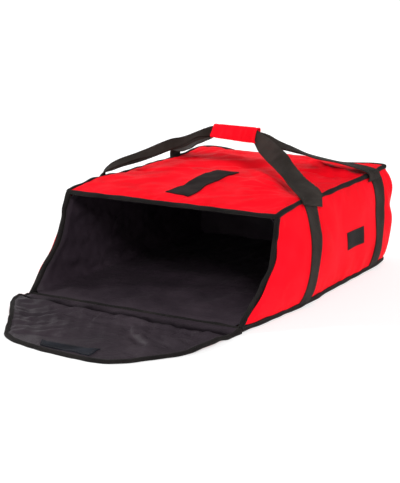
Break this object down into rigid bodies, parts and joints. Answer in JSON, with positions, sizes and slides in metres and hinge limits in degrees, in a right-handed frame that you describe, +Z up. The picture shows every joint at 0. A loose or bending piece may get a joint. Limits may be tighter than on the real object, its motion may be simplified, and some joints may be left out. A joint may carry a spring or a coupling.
{
  "type": "pizza delivery bag",
  "caption": "Insulated pizza delivery bag with a fold-down front flap, webbing handle loops and a wrapped grip.",
  "frame": {"origin": "middle of the base rectangle on the floor, under the middle of the base shell", "axes": "+Z up, the mouth and the open flap face -Y, +X is the right side that carries the patch"},
  "size_m": [0.454, 0.8483, 0.273],
  "materials": {
    "red_nylon": "coated woven nylon, satin",
    "foam": "soft polyester batting, matt",
    "dark_lining": "coated nylon, slight sheen",
    "black_binding": "woven bias tape, matt",
    "webbing": "ribbed webbing, matt",
    "tape": "hook-and-loop tape, matt",
    "patch": "plain woven patch, matt"
  },
  "bodies": {
    "bag": {"shell_top": "red_nylon", "shell_base": "red_nylon", "shell_back": "red_nylon", "shell_right": "red_nylon", "shell_left": "red_nylon", "insulation_top": "foam", "insulation_base": "foam", "insulation_back": "foam", "insulation_right": "foam", "insulation_left": "foam", "lining_top": "dark_lining", "lining_base": "dark_lining", "lining_back": "dark_lining", "lining_right": "dark_lining", "lining_left": "dark_lining", "rim_binding_front": "black_binding", "rim_binding_back": "black_binding", "rim_binding_right": "black_binding", "rim_binding_left": "black_binding", "base_binding_front": "black_binding", "base_binding_back": "black_binding", "base_binding_right": "black_binding", "base_binding_left": "black_binding", "mouth_binding_right": "black_binding", "mouth_binding_left": "black_binding", "side_strap_front_right": "webbing", "side_strap_front_left": "webbing", "side_strap_rear_right": "webbing", "side_strap_rear_left": "webbing", "handle_end_front_right": "webbing", "handle_end_front_left": "webbing", "handle_end_rear_right": "webbing", "handle_end_rear_left": "webbing", "loop_tape_top": "tape", "label_patch": "patch"},
    "flap": {"flap_shell": "red_nylon", "flap_insulation": "foam", "flap_lining": "dark_lining", "flap_binding_right": "black_binding", "flap_binding_left": "black_binding"},
    "flap_tip": {"tip_shell": "red_nylon", "tip_insulation": "foam", "tip_lining": "dark_lining", "tip_binding_right": "black_binding", "tip_binding_left": "black_binding", "tip_binding_end": "black_binding", "tip_hook_tape": "tape"},
    "grip": {"grip_wrap_rear": "red_nylon", "handle_core_front": "webbing", "handle_core_rear": "webbing", "handle_leg_front_right": "webbing", "handle_leg_front_left": "webbing", "handle_leg_rear_right": "webbing", "handle_leg_rear_left": "webbing"},
    "grip_front": {"grip_wrap_front": "red_nylon"}
  },
  "joints": [
    {"name": "flap_lift", "type": "hinge", "parent": "bag", "child": "flap", "pos_m": [0, -0.2923, 0.01], "axis": [-1, 0, 0], "range_deg": [0, 128]},
    {"name": "flap_tip_fold", "type": "hinge", "parent": "flap", "child": "flap_tip", "pos_m": [0, -0.4963, 0.0056], "axis": [-1, 0, 0], "range_deg": [0, 42]},
    {"name": "handle_lift", "type": "slide", "parent": "bag", "child": "grip", "axis": [0, 0, 1], "range_m": [-0.04, 0.03], "deforming": ["handle_leg_front_right", "handle_leg_front_left", "handle_leg_rear_right", "handle_leg_rear_left"]},
    {"name": "grip_wrap_open", "type": "hinge", "parent": "grip", "child": "grip_front", "pos_m": [-0.012, 0.08, 0.273], "axis": [-1, 0, 0], "range_deg": [0, 120]}
  ]
}
